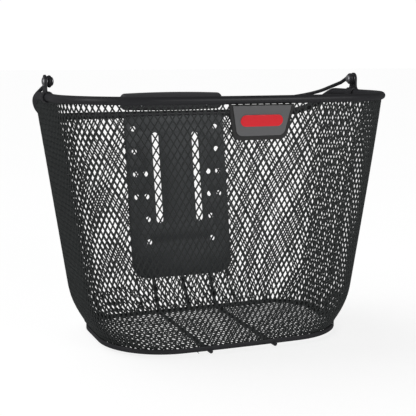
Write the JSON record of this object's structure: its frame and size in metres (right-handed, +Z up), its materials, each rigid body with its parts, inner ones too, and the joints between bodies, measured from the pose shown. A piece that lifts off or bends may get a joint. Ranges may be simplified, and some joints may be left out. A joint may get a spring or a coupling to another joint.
{
  "type": "handlebar basket",
  "caption": "Tapered expanded-metal bicycle handlebar basket with a tube rim dipping to the rear, slotted rear mounting plate and swinging carry bail with a barrel grip.",
  "frame": {"origin": "on the ground plane under the runner wires, below the middle of the object's box", "axes": "+Z up; -Y is the front, with the badge; +Y is the rear, with the mounting plate and the bail at rest; X = 0 is the mirror plane, +X the wearer's right when looking along +Y"},
  "size_m": [0.3398, 0.2545, 0.2604],
  "materials": {
    "mesh_coat": "satin black powder coat on expanded steel",
    "rim_coat": "semi-gloss black powder coat",
    "wire_coat": "semi-gloss black powder coat",
    "plate_coat": "satin charcoal powder coat",
    "holder_plastic": "matt black",
    "badge_plastic": "satin grey",
    "inlay_plastic": "glossy red, without lettering",
    "grip_plastic": "satin dark grey, finely grained",
    "rivet_steel": "zinc plated",
    "fastener_steel": "zinc plated, dull"
  },
  "bodies": {
    "basket": {"wall_mesh": "mesh_coat", "floor_mesh": "mesh_coat", "top_rim": "rim_coat", "base_hoop": "rim_coat", "skid_wire_left": "wire_coat", "skid_wire_right": "wire_coat", "centre_wire": "wire_coat", "mounting_plate": "plate_coat", "badge_holder": "holder_plastic", "badge_plate": "badge_plastic", "badge_inlay": "inlay_plastic", "badge_backing": "rim_coat", "badge_push_nuts": "fastener_steel", "ear_left": "rim_coat", "ear_right": "rim_coat", "pivot_rivet_left": "rivet_steel", "pivot_rivet_right": "rivet_steel", "pivot_washer_left": "fastener_steel", "pivot_washer_right": "fastener_steel"},
    "bail": {"bail_wire": "wire_coat", "grip_upper": "grip_plastic", "grip_lower": "grip_plastic", "grip_screws": "fastener_steel"}
  },
  "joints": [
    {"name": "handle_swing", "type": "hinge", "parent": "basket", "child": "bail", "pos_m": [0, 0.0042, 0.254], "axis": [1, 0, 0], "range_deg": [0, 194]}
  ]
}
